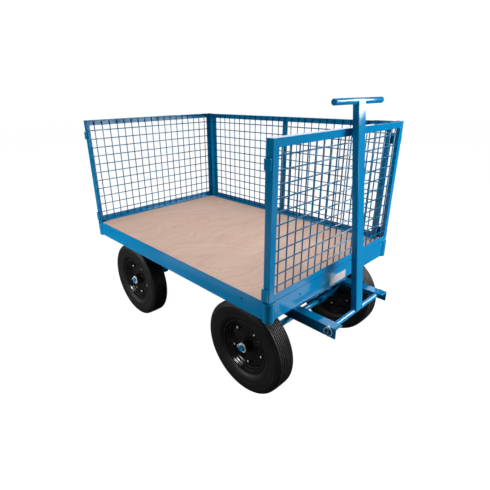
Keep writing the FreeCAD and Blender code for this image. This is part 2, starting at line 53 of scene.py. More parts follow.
NODES = frame["nodes"]
BODY_OF = {node: body for body, nodes in frame["record"]["behaviour"]["bodies"].items() for node in nodes}
X_AXIS, Y_AXIS, Z_AXIS = Vector((1, 0, 0)), Vector((0, 1, 0)), Vector((0, 0, 1))
MM = 0.001


# ---------------------------------------------------------------- materials

PLIES = 7
GRAIN_LEAN = 0.32               # radians, of the plywood's grain across the deck
RING_COUNT = 95.0               # how closely the veneer's growth rings are spaced
EDGE_TILT = 0.6                 # a face whose normal rises less than this is an edge of the board


class Shader:
    """A node material being put together round one Principled shader."""

    def __init__(self, name):
        self.material = bpy.data.materials.new(name)
        self.material.use_nodes = True
        self.tree = self.material.node_tree
        self.bsdf = self.tree.nodes["Principled BSDF"]
        self.place = self.node("ShaderNodeTexCoord").outputs["Object"]

    def node(self, kind, inputs=None, **settings):
        made = self.tree.nodes.new(kind)
        for key, value in settings.items():
            setattr(made, key, value)
        for key, value in (inputs or {}).items():
            self.feed(made.inputs[key], value)
        return made

    def feed(self, socket, value):
        if isinstance(value, bpy.types.NodeSocket):
            self.tree.links.new(value, socket)
        else:
            socket.default_value = value

    def stretched(self, x, y, z):
        """Object coordinates scaled differently along each axis."""
        made = self.node("ShaderNodeMapping", {"Vector": self.place, "Scale": (x, y, z)})
        return made.outputs["Vector"]

    def noise(self, scale, detail=3.0, rough=0.5, vector=None, distortion=0.0):
        made = self.node("ShaderNodeTexNoise", {
            "Vector": vector or self.place, "Scale": scale, "Detail": detail,
            "Roughness": rough, "Distortion": distortion})
        return made.outputs["Fac"]

    def ramp(self, fac, low, high, start=0.3, end=0.7):
        """A colour or grey ramp between two values."""
        made = self.node("ShaderNodeValToRGB", {"Fac": fac})
        stops = made.color_ramp.elements
        for stop, at, value in zip(stops, (start, end), (low, high)):
            stop.position = at
            stop.color = (value, value, value, 1) if isinstance(value, float) else (*value, 1)
        return made.outputs["Color"]

    def mix(self, fac, a, b, mode="MIX"):
        made = self.node("ShaderNodeMix", data_type="RGBA", blend_type=mode)
        colours = [s for s in made.inputs if s.type == "RGBA"]
        self.feed(made.inputs[0], fac)
        for socket, value in zip(colours, (a, b)):
            self.feed(socket, value if isinstance(value, bpy.types.NodeSocket) else (*value, 1))
        return [s for s in made.outputs if s.type == "RGBA"][0]

    def maths(self, operation, a, b=0.0):
        made = self.node("ShaderNodeMath", operation=operation)
        self.feed(made.inputs[0], a)
        self.feed(made.inputs[1], b)
        return made.outputs[0]

    def bump(self, height, distance, strength=1.0, below=None):
        inputs = {"Height": height, "Distance": distance, "Strength": strength}
        if below is not None:
            inputs["Normal"] = below
        return self.node("ShaderNodeBump", inputs).outputs["Normal"]

    def set(self, **values):
        for key, value in values.items():
            self.feed(self.bsdf.inputs[key.replace("_", " ")], value)
        return self.material


def powder_coat(name, deep, bright, rough, sheen=0.5):
    """Satin powder coat: drifts of tone, specks, orange peel and sags. sheen is its specular level."""
    s = Shader(name)
    drift = s.ramp(s.noise(2.3, 4.0, 0.55), deep, bright)
    speck = s.ramp(s.noise(900.0, 2.0), 0.93, 1.0, 0.25, 0.5)
    peel = s.noise(420.0, 3.0, 0.6)
    sag = s.noise(38.0, 2.0)
    normal = s.bump(peel, 0.00008, 0.12, s.bump(sag, 0.0006, 0.12))
    gloss = s.ramp(s.noise(7.0, 5.0, 0.6), rough - 0.03, rough + 0.04)
    return s.set(Base_Color=s.mix(1.0, drift, speck, "MULTIPLY"), Roughness=gloss, Normal=normal,
                 Specular_IOR_Level=sheen, IOR=1.5)


def plywood(ply):
    """Rotary-cut veneer: pinkish tan and swirling, with faint rings and knots, and plies at its edges."""
    s = Shader("plywood")
    warp = s.node("ShaderNodeTexNoise", {"Vector": s.place, "Scale": 2.1, "Detail": 2.0}).outputs["Color"]
    lean = s.node("ShaderNodeVectorMath", {0: warp, "Scale": 0.42}, operation="SCALE").outputs[0]
    swirl = s.node("ShaderNodeVectorMath", {0: s.place, 1: lean}, operation="ADD").outputs[0]

    def along_grain(x, y, z):
        """Swirled coordinates, turned to the grain and stretched along it."""
        return s.node("ShaderNodeMapping", {"Vector": swirl, "Scale": (x, y, z),
                                            "Rotation": (0.0, 0.0, GRAIN_LEAN)}).outputs["Vector"]

    broad = s.noise(1.0, 5.0, 0.62, along_grain(15.0, 1.9, 3.0), 0.6)
    lines = s.noise(1.0, 5.0, 0.72, along_grain(95.0, 4.2, 20.0), 0.1)
    fine = s.noise(1.0, 3.0, 0.6, along_grain(420.0, 16.0, 60.0))
    field = s.noise(1.0, 2.5, 0.45, along_grain(2.6, 1.0, 1.0), 0.8)
    rings = s.ramp(s.maths("SINE", s.maths("MULTIPLY", field, RING_COUNT)), 0.0, 1.0, 0.55, 1.0)
    blush = s.ramp(s.noise(3.1, 2.0, 0.5), 0.0, 1.0, 0.52, 0.70)
    knots = s.node("ShaderNodeTexVoronoi", {"Vector": s.stretched(3.1, 2.4, 1.0), "Scale": 1.0},
                   feature="F1").outputs["Distance"]
    knot = s.ramp(knots, 1.0, 0.0, 0.012, 0.045)

    face = s.ramp(broad, (0.575, 0.392, 0.305), (0.640, 0.458, 0.368), 0.30, 0.70)
    face = s.mix(s.maths("MULTIPLY", rings, 0.22), face, (0.44, 0.265, 0.19))
    face = s.mix(1.0, face, s.ramp(lines, 0.955, 1.03, 0.34, 0.64), "MULTIPLY")
    face = s.mix(1.0, face, s.ramp(fine, 0.93, 1.04, 0.35, 0.65), "MULTIPLY")
    face = s.mix(s.maths("MULTIPLY", blush, 0.5), face, (0.60, 0.36, 0.27))
    face = s.mix(s.maths("MULTIPLY", knot, 0.42), face, (0.30, 0.155, 0.09))

    height = s.node("ShaderNodeSeparateXYZ", {"Vector": s.place}).outputs["Z"]
    plies = s.maths("SINE", s.maths("MULTIPLY", height, math.pi / ply))
    edge = s.ramp(plies, (0.52, 0.34, 0.22), (0.74, 0.52, 0.36), 0.3, 0.7)
    edge = s.mix(1.0, edge, s.ramp(s.noise(500.0, 3.0), 0.86, 1.05), "MULTIPLY")
    true_normal = s.node("ShaderNodeNewGeometry").outputs["True Normal"]
    rise = s.node("ShaderNodeSeparateXYZ", {"Vector": true_normal}).outputs["Z"]
    on_edge = s.maths("LESS_THAN", s.maths("ABSOLUTE", rise), EDGE_TILT)
    return s.set(Base_Color=s.mix(on_edge, face, edge), Roughness=s.ramp(fine, 0.50, 0.62), IOR=1.45,
                 Normal=s.bump(fine, 0.00012, 0.5, s.bump(broad, 0.0004, 0.10)))


def rubber():
    """Moulded black rubber with a faint bloom and fine mould grain."""
    s = Shader("tyre_rubber")
    bloom = s.ramp(s.noise(9.0, 4.0, 0.6), (0.0042, 0.0042, 0.0044), (0.0078, 0.0076, 0.0075))
    grain = s.noise(700.0, 2.0)
    return s.set(Base_Color=bloom, Roughness=s.ramp(s.noise(22.0, 4.0), 0.46, 0.60), IOR=1.52,
                 Specular_IOR_Level=0.5, Normal=s.bump(grain, 0.00006, 0.6))


def enamel():
    """Gloss black enamel on pressed steel, with slight waviness and dust."""
    s = Shader("rim_black")
    dust = s.ramp(s.noise(60.0, 6.0, 0.7), (0.0052, 0.0052, 0.0056), (0.0095, 0.0093, 0.0090))
    return s.set(Base_Color=dust, Roughness=s.ramp(s.noise(16.0, 4.0), 0.10, 0.18), IOR=1.55,
                 Coat_Weight=0.35, Coat_Roughness=0.06,
                 Normal=s.bump(s.noise(95.0, 2.0), 0.00025, 0.3))


def zinc():
    """Bright zinc plate: fine brushing and faint cloudy passivation."""
    s = Shader("zinc_steel")
    cloud = s.ramp(s.noise(85.0, 4.0), (0.62, 0.61, 0.57), (0.80, 0.79, 0.75))
    brush = s.noise(1.0, 3.0, 0.6, s.stretched(300.0, 2600.0, 300.0))
    return s.set(Base_Color=cloud, Metallic=0.15, Roughness=s.ramp(brush, 0.30, 0.44),
                 Normal=s.bump(brush, 0.00003, 0.5))


def label_foil():
    """Blank satin foil label with light scuffs."""
    s = Shader("label_silver")
    scuff = s.noise(1.0, 5.0, 0.65, s.stretched(90.0, 22.0, 150.0))
    smear = s.noise(1.0, 4.0, 0.7, s.stretched(30.0, 60.0, 45.0))
    smear = s.ramp(smear, (0.42, 0.36, 0.34), (0.56, 0.56, 0.59))
    tone = s.mix(1.0, smear, s.ramp(scuff, 0.80, 1.05, 0.35, 0.65), "MULTIPLY")
    return s.set(Base_Color=tone, Metallic=0.2, Roughness=s.ramp(scuff, 0.34, 0.50),
                 Normal=s.bump(scuff, 0.00004, 0.4))


board_low, board_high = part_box("deck_board")
MATERIALS = {
    "blue_paint": powder_coat("blue_paint", (0.0006, 0.171, 0.384), (0.0010, 0.205, 0.448), 0.11),
    # The wires get the frame's blue darkened, which is painted shade: the real wires carry the same paint as the
    # frame.
    "mesh_paint": powder_coat("mesh_paint", (0.0006, 0.122, 0.262), (0.0010, 0.148, 0.316), 0.20, 0.8),
    "plywood": plywood((board_high.z - board_low.z) / PLIES),
    "tyre_rubber": rubber(),
    "rim_black": enamel(),
    "zinc_steel": zinc(),
    "label_silver": label_foil(),
}


# ---------------------------------------------------------------- geometry helpers

BEAD_STEP, BEAD_MOST_STEPS = 1.26 * MM, 90
BEAD_RIPPLE, BEAD_WANDER = 2.6 * MM, 0.12 * MM
SHARP_CORNER, FLAT_CORNER = math.radians(28.0), math.radians(1.0)


def piece_from(bm, name, body, slot, smooth_angle=40.0):
    """Turns a bmesh into a piece that rides on a body, in a material slot's finish."""
    bmesh.ops.remove_doubles(bm, verts=bm.verts, dist=1e-6)
    bmesh.ops.recalc_face_normals(bm, faces=bm.faces)
    mesh = bpy.data.meshes.new(name)
    for face in bm.faces:
        face.smooth = True
    for edge in bm.edges:
        if len(edge.link_faces) == 2:
            edge.smooth = edge.calc_face_angle(0.0) < math.radians(smooth_angle)
    bm.to_mesh(mesh)
    bm.free()
    piece = bpy.data.objects.new(name, mesh)
    bpy.context.scene.collection.objects.link(piece)
    mesh.materials.append(MATERIALS[slot])
    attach(piece, body)
    return piece


def skin(bm, loops, closed=False, capped=False):
    """Faces between rings of points. closed joins the last ring to the first, capped fills them both."""
    rings = [[bm.verts.new(p) for p in loop] for loop in loops]
    pairs = list(zip(rings, rings[1:]))
    if closed:
        pairs.append((rings[-1], rings[0]))
    for a, b in pairs:
        count = len(a)
        for i in range(count):
            j = (i + 1) % count
            bm.faces.new((a[i], a[j], b[j], b[i]))
    if capped:
        bm.faces.new(rings[0])
        bm.faces.new(list(reversed(rings[-1])))


def frame_along(direction):
    """Two unit vectors square to a direction."""
    d = direction.normalized()
    side = d.cross(Z_AXIS if abs(d.z) < 0.9 else X_AXIS).normalized()
    return side, d.cross(side).normalized()


def circle(centre, side, up, radius, steps):
    return [centre + side * (radius * math.cos(t)) + up * (radius * math.sin(t))
            for t in (2 * math.pi * k / steps for k in range(steps))]


def bar(bm, start, end, radius, steps=12, chamfer=0.0):
    """A round bar with lightly chamfered ends."""
    start, end = Vector(start), Vector(end)
    side, up = frame_along(end - start)
    d = (end - start).normalized() * chamfer
    inner = radius - chamfer
    loops = [circle(start, side, up, inner, steps)] if chamfer else []
    loops += [circle(start + d, side, up, radius, steps), circle(end - d, side, up, radius, steps)]
    loops += [circle(end, side, up, inner, steps)] if chamfer else []
    skin(bm, loops, capped=True)


def sweep(bm, points, radius, steps=10, closed=False):
    """A round wire along a smooth list of points."""
    loops = []
    count = len(points)
    side = None
    for k, point in enumerate(points):
        if closed:
            direction = points[(k + 1) % count] - points[k - 1]
        else:
            direction = points[min(k + 1, count - 1)] - points[max(k - 1, 0)]
        d = direction.normalized()
        if side is None:
            side, up = frame_along(d)
        else:
            up = d.cross(side).normalized()
            side = up.cross(d).normalized()
        loops.append(circle(point, side, up, radius, steps))
    skin(bm, loops, closed=closed, capped=not closed)


def lathe(bm, profile, centre, steps, closed=True, lift=None):
    """Turns a profile of (radius, y) points about the Y axis. lift(radius, y, turn) may move y."""
    loops = []
    for k in range(steps):
        turn = 2 * math.pi * k / steps
        loop = []
        for radius, y in profile:
            shifted = lift(radius, y, turn) if lift else y
            loop.append(centre + Vector((radius * math.cos(turn), shifted, radius * math.sin(turn))))
        loops.append(loop)
    rings = [[bm.verts.new(p) for p in loop] for loop in loops]
    count = len(profile)
    for k in range(steps):
        a, b = rings[k], rings[(k + 1) % steps]
        for i in range(count if closed else count - 1):
            j = (i + 1) % count
            bm.faces.new((a[i], a[j], b[j], b[i]))


def prism_between(bm, outline, centre, axis, side, up, length, chamfer=0.0):
    """A flat outline of (side, up) points pushed along an axis, with a chamfered far end."""
    base = [centre + side * a + up * b for a, b in outline]
    tall = [p + axis * (length - chamfer) for p in base]
    loops = [base, tall]
    if chamfer:
        shares = [1 - chamfer / math.hypot(a, b) for a, b in outline]
        loops.append([centre + side * a * share + up * b * share + axis * length
                      for (a, b), share in zip(outline, shares)])
    skin(bm, loops, capped=True)


def weld_bead(bm, start, end, radius, seed=0):
    """A rippled bead of weld laid along a line, a little uneven and tapering at its ends."""
    start, end = Vector(start), Vector(end)
    span = (end - start).length
    steps = min(max(6, int(span / BEAD_STEP)), BEAD_MOST_STEPS)
    rng = random.Random(seed)
    side, up = frame_along(end - start)
    loops = []
    for k in range(steps + 1):
        t = k / steps
        ripple = 1.0 + 0.13 * math.sin(t * span / BEAD_RIPPLE * 2 * math.pi) + 0.05 * (rng.random() - 0.5)
        taper = min(1.0, 6 * t + 0.35, 6 * (1 - t) + 0.35)
        centre = start.lerp(end, t) + (side + up) * (BEAD_WANDER * (rng.random() - 0.5))
        loops.append(circle(centre, side, up, radius * ripple * taper, 8))
    skin(bm, loops, capped=True)


def solids_of(mesh):
    """The corner points of a CAD mesh's triangles, solid by solid, so that mitred bars stay separate."""
    groups, group, open_edges = [], [], set()
    for polygon in mesh.polygons:
        points = [tuple(round(c, 5) for c in mesh.vertices[v].co) for v in polygon.vertices]
        group.append(points)
        for start, end in zip(points, points[1:] + points[:1]):
            if (end, start) in open_edges:
                open_edges.remove((end, start))
            else:
                open_edges.add((start, end))
        if not open_edges:
            groups.append(group)
            group = []
    return groups + ([group] if group else [])


def dress(node_name, slot, bevel, segments=2):
    """Stands in for a CAD node with the node's own shape, its flats kept flat and its edges rounded."""
    source = NODES[node_name]
    bm = bmesh.new()
    for group in solids_of(source.data):
        corners = {}
        for points in group:
            for point in points:
                if point not in corners:
                    corners[point] = bm.verts.new(point)
            if len(set(points)) == len(points):
                bm.faces.new([corners[point] for point in points])
    bm.normal_update()
    bmesh.ops.dissolve_limit(bm, angle_limit=FLAT_CORNER, verts=bm.verts, edges=bm.edges)
    for face in bm.faces:
        face.smooth = True
    mesh = bpy.data.meshes.new(node_name + "_finished")
    bm.to_mesh(mesh)
    bm.free()
    mesh.materials.append(MATERIALS[slot])
    piece = bpy.data.objects.new(node_name + "_finished", mesh)
    bpy.context.scene.collection.objects.link(piece)
    piece.matrix_world = source.matrix_world.copy()
    rounding = piece.modifiers.new("rounding", "BEVEL")
    rounding.width = bevel
    rounding.segments = segments
    rounding.limit_method = "ANGLE"
    rounding.angle_limit = SHARP_CORNER
    rounding.harden_normals = True
    rounding.use_clamp_overlap = True
    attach(piece, BODY_OF[node_name])
    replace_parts(piece, node_name)


# ---------------------------------------------------------------- places read from the CAD

board_mid_x = (board_low.x + board_high.x) / 2
socket_low, socket_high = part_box("corner_sockets")
SOCKET_R = 20 * MM
SOCKETS = [Vector((x, y, 0)) for x in (socket_low.x + SOCKET_R, socket_high.x - SOCKET_R)
           for y in (socket_low.y + SOCKET_R, socket_high.y - SOCKET_R)]
channel_low, channel_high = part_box("left_side_channel")
WHEEL_Y = (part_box("front_left_tyre")[0].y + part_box("front_left_tyre")[1].y) / 2
WHEELS = [(end + "_" + side, out) for end in ("front", "rear")
          for side, out in (("left", 1), ("right", -1))]


def middle(node):
    low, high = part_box(node)
    return (low + high) / 2


# ---------------------------------------------------------------- pieces with the CAD's own shape

# A finish, the width and segments of its bevels in millimetres, and the nodes that take them.
DRESSED = (
    ("blue_paint", 0.9, 3, ("left_side_channel", "right_side_channel", "front_channel", "rear_channel")),
    ("blue_paint", 0.8, 2, ("deck_bearers", "bogie_channels", "rear_axle_hangers", "front_axle_hangers",
                            "turntable_top_plate", "bogie_plate")),
    ("blue_paint", 0.9, 3, ("left_drawbar_arm", "right_drawbar_arm")),
    ("blue_paint", 0.7, 2, ("front_panel_frame", "rear_panel_frame", "side_panel_frame",
                            "front_panel_keepers", "rear_panel_keepers", "side_panel_hooks")),
    ("blue_paint", 0.5, 2, ("handle_cross_tube", "pivot_rod")),
    ("zinc_steel", 0.6, 2, ("kingpin", "kingpin_nut")),
    ("plywood", 0.5, 2, ("deck_board",)),
    ("label_silver", 0.2, 2, ("label_plate",)),
)

for slot, bevel, segments, names in DRESSED:
    for name in names:
        dress(name, slot, bevel * MM, segments)


# ---------------------------------------------------------------- wheels, profiles in millimetres

TYRE_STEPS, RIM_STEPS = 112, 120
TREAD_GROOVES = 7
GROOVED_HALF = 30.0             # middle of the tread to the edge of its grooved band
CROWN_R, CROWN_DROP = 190.0, 0.9
GROOVE_HALF, GROOVE_DEPTH = 1.35, 2.6
GROOVE_EDGE, GROOVE_EDGE_DROP = 0.5, 0.4

BOLTS = 5
BOLT_R, BOLT_AF = 75.0, 13.0
BOLT_HEAD, BOLT_CHAMFER = 5.3, 0.9
BOLT_WASHER = [(8.6, -0.4), (8.6, 1.0), (8.1, 1.3), (3.0, 1.3), (3.0, -0.4)]
BOLT_WASHER_TOP = 1.2
DISC_HALF = 3.0
STUD_R, STUD_CHAMFER, STUD_FROM = 4.0, 0.8, 6.0
STUD_OUTSIDE, STUD_INSIDE = 4.2, 1.2

RIB_FROM, RIB_TO = 26.5, 86.0   # radii between which the disc is pressed
RIB_RISE = 6.5
RIB_LEAD_IN, RIB_RUN_OUT = 6.0, 16.0
RIB_TURN = 0.52                 # half width near the hub, in radians
RIB_TAPER_FROM, RIB_TAPER = 26.0, 78.0
RIB_FLAT = 1.25


def with_reflection(points):
    """Closes a profile of (radius, y) points with its own reflection in y = 0."""
    return points + [(r, -y) for r, y in reversed(points)]


def tyre_profile():
    """From the bead over the ringed side wall and the shoulder to the grooved tread."""
    side = [(113.1, 30.6), (116.0, 33.2), (119.5, 36.6), (123.5, 38.9), (127.5, 39.6), (129.5, 41.0),
            (132.0, 41.6), (134.5, 41.0), (137.0, 41.2), (142.0, 42.4), (149.0, 43.4), (156.0, 43.9),
            (163.0, 43.9), (167.5, 43.5), (168.6, 44.1), (170.6, 44.1), (171.8, 43.0), (175.5, 42.2),
            (179.0, 40.7), (182.3, 38.9), (185.0, 37.0), (187.0, 35.2), (188.3, 33.9), (188.9, 32.6)]
    tread = []
    pitch = 2 * GROOVED_HALF / TREAD_GROOVES
    for index in range(TREAD_GROOVES // 2 + 1):
        y = GROOVED_HALF - (index + 0.5) * pitch
        crown = CROWN_R - CROWN_DROP * (y / GROOVED_HALF) ** 2
        rows = [(crown, y + GROOVE_HALF + GROOVE_EDGE), (crown - GROOVE_EDGE_DROP, y + GROOVE_HALF),
                (crown - GROOVE_DEPTH, y + GROOVE_HALF * 0.55)]
        tread += rows
        if index < TREAD_GROOVES // 2:           # the middle groove's other half is the reflection
            tread += [(r, 2 * y - w) for r, w in reversed(rows)]
    return [(r * MM, y * MM) for r, y in with_reflection(side + tread)]


def rim_profile():
    """From the bore out over the hub, the pressed disc and the stepped barrel to the rolled lip."""
    rows = [(12.6, 33.2), (13.4, 34.0), (23.8, 34.0), (25.0, 32.8), (25.0, 30.0), (25.6, 8.6),
            (27.2, 5.6), (30.5, 4.4), (38.0, 4.0), (46.0, 3.7), (54.0, 3.4), (61.0, 3.2), (66.0, 3.0),
            (84.0, 3.0), (87.0, 3.8), (88.8, 6.2), (89.6, 9.6), (91.2, 11.6), (94.2, 12.6),
            (96.0, 14.4), (96.9, 18.0), (98.2, 20.2), (101.2, 21.2), (102.8, 23.0), (103.5, 26.6),
            (104.6, 29.2), (106.6, 30.6), (109.2, 31.0), (111.4, 30.6), (112.7, 29.3), (113.0, 27.6),
            (112.4, 25.8)]
    return [(r * MM, y * MM) for r, y in with_reflection(rows)]


def bolt_turn(out, index=0):
    """Where a bolt sits round the axle: the first is a twelfth of a turn off the top."""
    return math.pi / 2 + out * math.pi / 6 + index * 2 * math.pi / BOLTS


def pressing(out):
    """A lift for lathe that raises tapering ribs in the disc between the bolts, on both faces alike."""
    sector = 2 * math.pi / BOLTS

    def lift(radius, y, turn):
        r = radius / MM
        if not RIB_FROM < r < RIB_TO:
            return y
        from_bolt = abs((turn - bolt_turn(out) + sector / 2) % sector - sector / 2)
        off = sector / 2 - from_bolt                 # nought on the line half way between two bolts
        half_turn = RIB_TURN * (1.0 - (r - RIB_TAPER_FROM) / RIB_TAPER)
        across = max(0.0, 1.0 - off / half_turn)
        along = min(1.0, (r - RIB_FROM) / RIB_LEAD_IN) * min(1.0, (RIB_TO - r) / RIB_RUN_OUT)
        rise = RIB_RISE * MM * min(1.0, across * RIB_FLAT) * max(0.0, along)
        return y + math.copysign(rise, y)

    return lift


def hexagon(across_flats):
    corner = across_flats / 2 / math.cos(math.pi / 6)
    turns = ((k + 0.5) * math.pi / 3 for k in range(6))
    return [(corner * math.cos(t), corner * math.sin(t)) for t in turns]


def rim_bolt(rim, ends, centre, turn, out):
    """A bolt through the disc: a washer and a hexagon on each face, and a stud that is longer outside."""
    radial = Vector((math.cos(turn), 0, math.sin(turn)))
    across = Vector((-math.sin(turn), 0, math.cos(turn)))
    outline = [(a * MM, b * MM) for a, b in hexagon(BOLT_AF)]
    for face in (1, -1):
        seat = centre + radial * (BOLT_R * MM) + Y_AXIS * (face * DISC_HALF * MM)
        lathe(rim, [(r * MM, face * y * MM) for r, y in BOLT_WASHER], seat, 20)
        under_head = seat + Y_AXIS * (face * BOLT_WASHER_TOP * MM)
        prism_between(rim, outline, under_head, Y_AXIS * face, radial, across,
                      BOLT_HEAD * MM, BOLT_CHAMFER * MM)
        tip = seat + Y_AXIS * (face * STUD_FROM * MM)
        stud = STUD_OUTSIDE if face == out else STUD_INSIDE
        bar(ends, tip, tip + Y_AXIS * (face * stud * MM), STUD_R * MM, 16, STUD_CHAMFER * MM)


for wheel, out in WHEELS:
    body = wheel + "_wheel"
    centre = middle(wheel + "_tyre")
    bm = bmesh.new()
    lathe(bm, tyre_profile(), centre, TYRE_STEPS)
    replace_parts(piece_from(bm, wheel + "_tyre_moulded", body, "tyre_rubber", 50), wheel + "_tyre")

    bm, ends = bmesh.new(), bmesh.new()
    lathe(bm, rim_profile(), centre, RIM_STEPS, lift=pressing(out))
    for index in range(BOLTS):
        rim_bolt(bm, ends, centre, bolt_turn(out, index), out)
    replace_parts(piece_from(bm, wheel + "_rim_pressed", body, "rim_black", 32), wheel + "_rim")
    piece_from(ends, wheel + "_bolt_ends", body, "zinc_steel")


# ---------------------------------------------------------------- axles, washers and split pins

SHOULDER = 34.3 * MM            # middle of a wheel in to the stop ring
STOP_RING = 8 * MM              # its width
WASHER = 3 * MM                 # its thickness
PIN_WIRE = 1.15 * MM
PIN_HALF = 4 * MM               # end of the split pins' box to their own middle
PIN_RUN = (-16.0, -13.0, 0.0, 12.0)                         # where the legs lie along X, in millimetres
PIN_TIP = ((14.6, 0.5), (16.8, 1.9), (17.6, 3.4))           # and where their tips bend away
EYE_BACK, EYE_LONG, EYE_TALL = 20.5 * MM, 4.2 * MM, 4.0 * MM
SEAM_R, SEAM_BEAD = 14.0 * MM, 1.9 * MM                     # the stop ring's weld


def axle_profile(shoulder, reach):
    """Half of the bar: a stop ring inside the shoulder, then a chamfered and centre-drilled end."""
    inner = shoulder - STOP_RING
    return [(0.4 * MM, 0), (12.5 * MM, 0), (12.5 * MM, inner), (18.2 * MM, inner),
            (19.0 * MM, shoulder - 7.2 * MM), (19.0 * MM, shoulder - 0.8 * MM), (18.2 * MM, shoulder),
            (12.5 * MM, shoulder), (12.5 * MM, reach - 1.6 * MM), (12.1 * MM, reach - 0.6 * MM),
            (10.9 * MM, reach), (5.2 * MM, reach), (4.4 * MM, reach - 0.4 * MM),
            (3.4 * MM, reach - 2.6 * MM), (0.4 * MM, reach - 4.2 * MM)]


def washer_profile(radius):
    return [(12.56 * MM, 0.3 * MM), (12.9 * MM, 0), (radius - 0.5 * MM, 0), (radius, 0.5 * MM),
            (radius, 2.5 * MM), (radius - 0.5 * MM, WASHER), (12.9 * MM, WASHER), (12.56 * MM, 2.7 * MM)]


def cotter(bm, x, y, z):
    """A split pin along X: an eye behind the axle, two legs through it, and their tips bent open."""
    wire = PIN_WIRE
    eye = [Vector((x - EYE_BACK - EYE_LONG * math.cos(t), y, z + EYE_TALL * math.sin(t)))
           for t in (math.radians(a) for a in range(-120, 121, 16))]
    run = [Vector((x + a * MM, y, z + wire * 0.9)) for a in PIN_RUN]
    tip = [Vector((x + a * MM, y, z + wire * 0.9 + b * MM)) for a, b in PIN_TIP]
    top = run + tip
    under = [Vector((p.x - k * 0.3 * MM, p.y, 2 * z - p.z)) for k, p in enumerate(top)]
    sweep(bm, list(reversed(under)) + eye + top, wire, 8)


for end, body in (("front", "bogie"), ("rear", "chassis")):
    washers_low, washers_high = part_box(end + "_axle_washers")
    axle = (washers_low + washers_high) / 2
    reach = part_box(end + "_axle_beam")[1].y
    shoulder = WHEEL_Y - SHOULDER
    profile = axle_profile(shoulder, reach)
    bm = bmesh.new()
    for out in (1, -1):
        lathe(bm, [(r, out * a) for r, a in profile], Vector((axle.x, 0, axle.z)), 48)
        seam_middle = Vector((axle.x, out * (shoulder - STOP_RING), axle.z))
        sweep(bm, circle(seam_middle, X_AXIS, Z_AXIS, SEAM_R, 30), SEAM_BEAD, 8, closed=True)
    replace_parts(piece_from(bm, end + "_axle_turned", body, "blue_paint"), end + "_axle_beam")

    bm = bmesh.new()
    profile = washer_profile((washers_high.z - washers_low.z) / 2)
    for out, inner in ((1, washers_high.y - WASHER), (-1, washers_low.y + WASHER)):
        lathe(bm, [(r, out * a) for r, a in profile], Vector((axle.x, inner, axle.z)), 56)
    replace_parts(piece_from(bm, end + "_washers_turned", body, "zinc_steel"), end + "_axle_washers")

    pins_low, pins_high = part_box(end + "_split_pins")
    bm = bmesh.new()
    for y in (pins_low.y + PIN_HALF, pins_high.y - PIN_HALF):
        cotter(bm, axle.x, y, axle.z)
    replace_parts(piece_from(bm, end + "_cotters", body, "zinc_steel"), end + "_split_pins")


# ---------------------------------------------------------------- corner sockets and turntable rings

SOCKET_WALL, SOCKET_FLOOR = 2 * MM, 4 * MM
SOCKET_STEPS, RING_STEPS = 56, 96
RING_WIDTH, RING_EDGE = 22 * MM, 1.2 * MM
RING_SEAM, RING_SEAM_DEPTH = 1.4 * MM, 1.3 * MM


def level_loops(profile, centre, steps):
    """Level circles about a vertical axis, one for each (radius, height) of a profile."""
    turns = [2 * math.pi * k / steps for k in range(steps)]
    return [[centre + Vector((r * math.cos(t), r * math.sin(t), z)) for t in turns] for r, z in profile]


def socket_profile():
    """A closed floor, a rolled foot, the tube's wall and its open mouth."""
    top, bottom, bore = socket_high.z, socket_low.z, SOCKET_R - SOCKET_WALL
    return [(0.4 * MM, bottom + 0.6 * MM), (bore - 0.5 * MM, bottom + 0.6 * MM),
            (bore, bottom), (SOCKET_R - 0.6 * MM, bottom), (SOCKET_R, bottom + 0.6 * MM),
            (SOCKET_R, top - 0.5 * MM), (SOCKET_R - 0.5 * MM, top), (bore + 0.4 * MM, top),
            (bore, top - 0.4 * MM), (bore, bottom + SOCKET_FLOOR), (0.4 * MM, bottom + SOCKET_FLOOR)]


def ring_profile(outer, half):
    """A turned ring with chamfered corners and a shallow seam round the middle of its rim."""
    inner = outer - RING_WIDTH
    return [(inner, -half + RING_EDGE), (inner + RING_EDGE, -half), (outer - RING_EDGE, -half),
            (outer, -half + RING_EDGE), (outer, -RING_SEAM), (outer - RING_SEAM_DEPTH, 0),
            (outer, RING_SEAM), (outer, half - RING_EDGE), (outer - RING_EDGE, half),
            (inner + RING_EDGE, half), (inner, half - RING_EDGE)]


bm = bmesh.new()
for centre in SOCKETS:
    skin(bm, level_loops(socket_profile(), centre, SOCKET_STEPS), capped=True)
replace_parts(piece_from(bm, "socket_tubes", "chassis", "blue_paint"), "corner_sockets")

for node, body in (("turntable_upper_ring", "chassis"), ("turntable_lower_ring", "bogie")):
    low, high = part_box(node)
    bm = bmesh.new()
    profile = ring_profile((high.x - low.x) / 2, (high.z - low.z) / 2)
    skin(bm, level_loops(profile, middle(node), RING_STEPS), closed=True)
    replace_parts(piece_from(bm, node + "_turned", body, "blue_paint"), node)


# ---------------------------------------------------------------- tow handle

fold = next(j for j in frame["joints"] if j["name"] == "handle_fold")
PIVOT = Vector(fold["pos_m"])
grip = middle("grip_bar")
UP = (grip - PIVOT).normalized()
UP = Vector((UP.x, 0, UP.z)).normalized()
FORE = Vector((UP.z, 0, -UP.x))
HANDLE = (Vector((grip.x, 0, grip.z)) - Vector((PIVOT.x, 0, PIVOT.z))).length
GRIP_R, GRIP_WALL = 10 * MM, 2 * MM
CROSS_R = 9.5 * MM
SADDLE_BITE = 0.985             # how near a saddled end comes to the round bar's own curve


def rounded_box(half_deep, half_wide, corner, steps=6):
    """(deep, wide) points round a box section with rounded corners."""
    points = []
    for a, b, start in ((1, 1, 0), (-1, 1, 90), (-1, -1, 180), (1, -1, 270)):
        for k in range(steps + 1):
            t = math.radians(start + 90 * k / steps)
            points.append((a * (half_deep - corner) + corner * math.cos(t),
                           b * (half_wide - corner) + corner * math.sin(t)))
    return points


